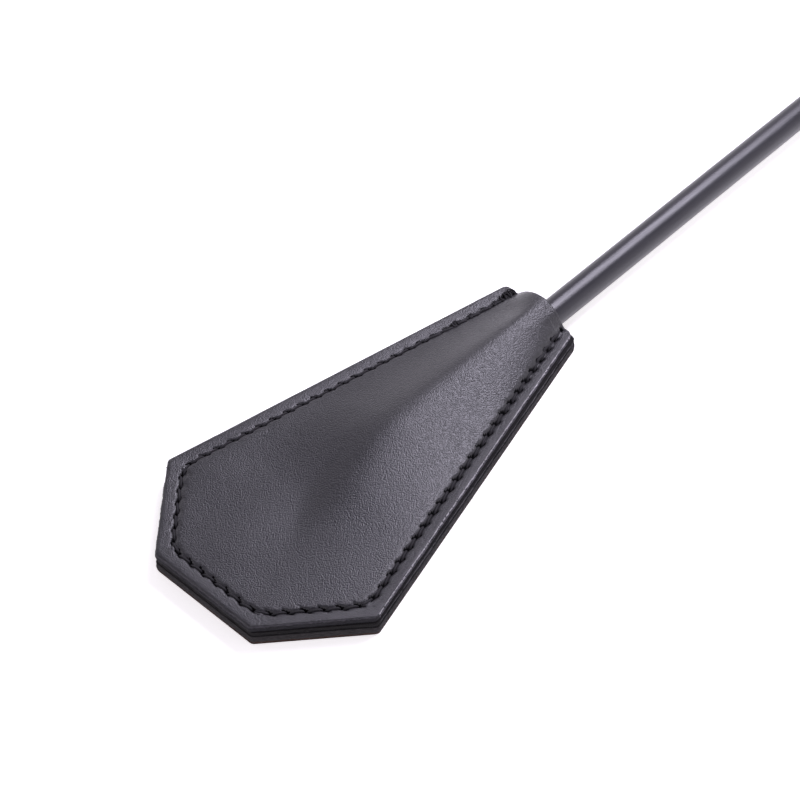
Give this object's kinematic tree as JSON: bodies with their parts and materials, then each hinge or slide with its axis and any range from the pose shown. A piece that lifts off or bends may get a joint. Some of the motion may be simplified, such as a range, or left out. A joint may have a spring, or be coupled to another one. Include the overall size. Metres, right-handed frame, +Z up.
{
  "type": "riding crop",
  "caption": "Riding crop with a stitched three-ply leather flapper over a slim shaft, a leather-wrapped handle and a hinged wrist loop.",
  "frame": {"origin": "on the surface the crop lies on, under the middle of its length and its width", "axes": "+X from the flapper tip towards the wrist loop, +Y across the flapper, +Z up from the surface"},
  "size_m": [0.6844, 0.06, 0.0211],
  "materials": {
    "top_leather": "black pebbled grain, soft satin",
    "stiffener": "pressed leather board, raw cut edge",
    "back_leather": "black, fibrous cut edge with a red-brown lower rim",
    "thread": "black bonded thread, matt",
    "tip_rubber": "matt black",
    "glass_fibre": "pale drawn glass fibre and resin",
    "shaft_plastic": "smooth black satin sleeve",
    "collar_metal": "satin nickel plate",
    "core_plastic": "moulded grey core",
    "grip_leather": "black pebbled grain, soft satin",
    "cap_plastic": "moulded black satin",
    "pin_steel": "bright steel",
    "eyelet_metal": "nickel plate",
    "strap_leather": "black, smooth grain, darker cut edges"
  },
  "bodies": {
    "crop": {"flapper_top_neck": "top_leather", "flapper_stiffener_neck": "stiffener", "flapper_back_neck": "back_leather", "needle_thread_neck": "thread", "bobbin_thread_neck": "thread", "shaft_tip_cap": "tip_rubber", "core_rod": "glass_fibre", "shaft_sleeve": "shaft_plastic", "front_collar": "collar_metal", "handle_core": "core_plastic", "grip_wrap": "grip_leather", "grip_seam_thread": "thread", "rear_collar": "collar_metal", "end_cap": "cap_plastic", "loop_pin": "pin_steel"},
    "flapper_end": {"flapper_top_tip": "top_leather", "flapper_stiffener_tip": "stiffener", "flapper_back_tip": "back_leather", "needle_thread_tip": "thread", "bobbin_thread_tip": "thread"},
    "wrist_loop": {"wrist_strap": "strap_leather", "strap_eyelet": "eyelet_metal"},
    "keeper": {"strap_keeper": "strap_leather"}
  },
  "joints": [
    {"name": "flapper_flex", "type": "hinge", "parent": "crop", "child": "flapper_end", "pos_m": [-0.30595, 0, 0.00265], "axis": [0, 1, 0], "range_deg": [-20, 20], "stiffness_Nm_per_rad": 0.9},
    {"name": "loop_swing", "type": "hinge", "parent": "crop", "child": "wrist_loop", "pos_m": [0.17205, 0, 0.01071], "axis": [0, -1, 0], "range_deg": [-80, 80]},
    {"name": "keeper_slide", "type": "slide", "parent": "wrist_loop", "child": "keeper", "axis": [0.9996, 0, -0.0277], "range_m": [0, 0.018]}
  ]
}
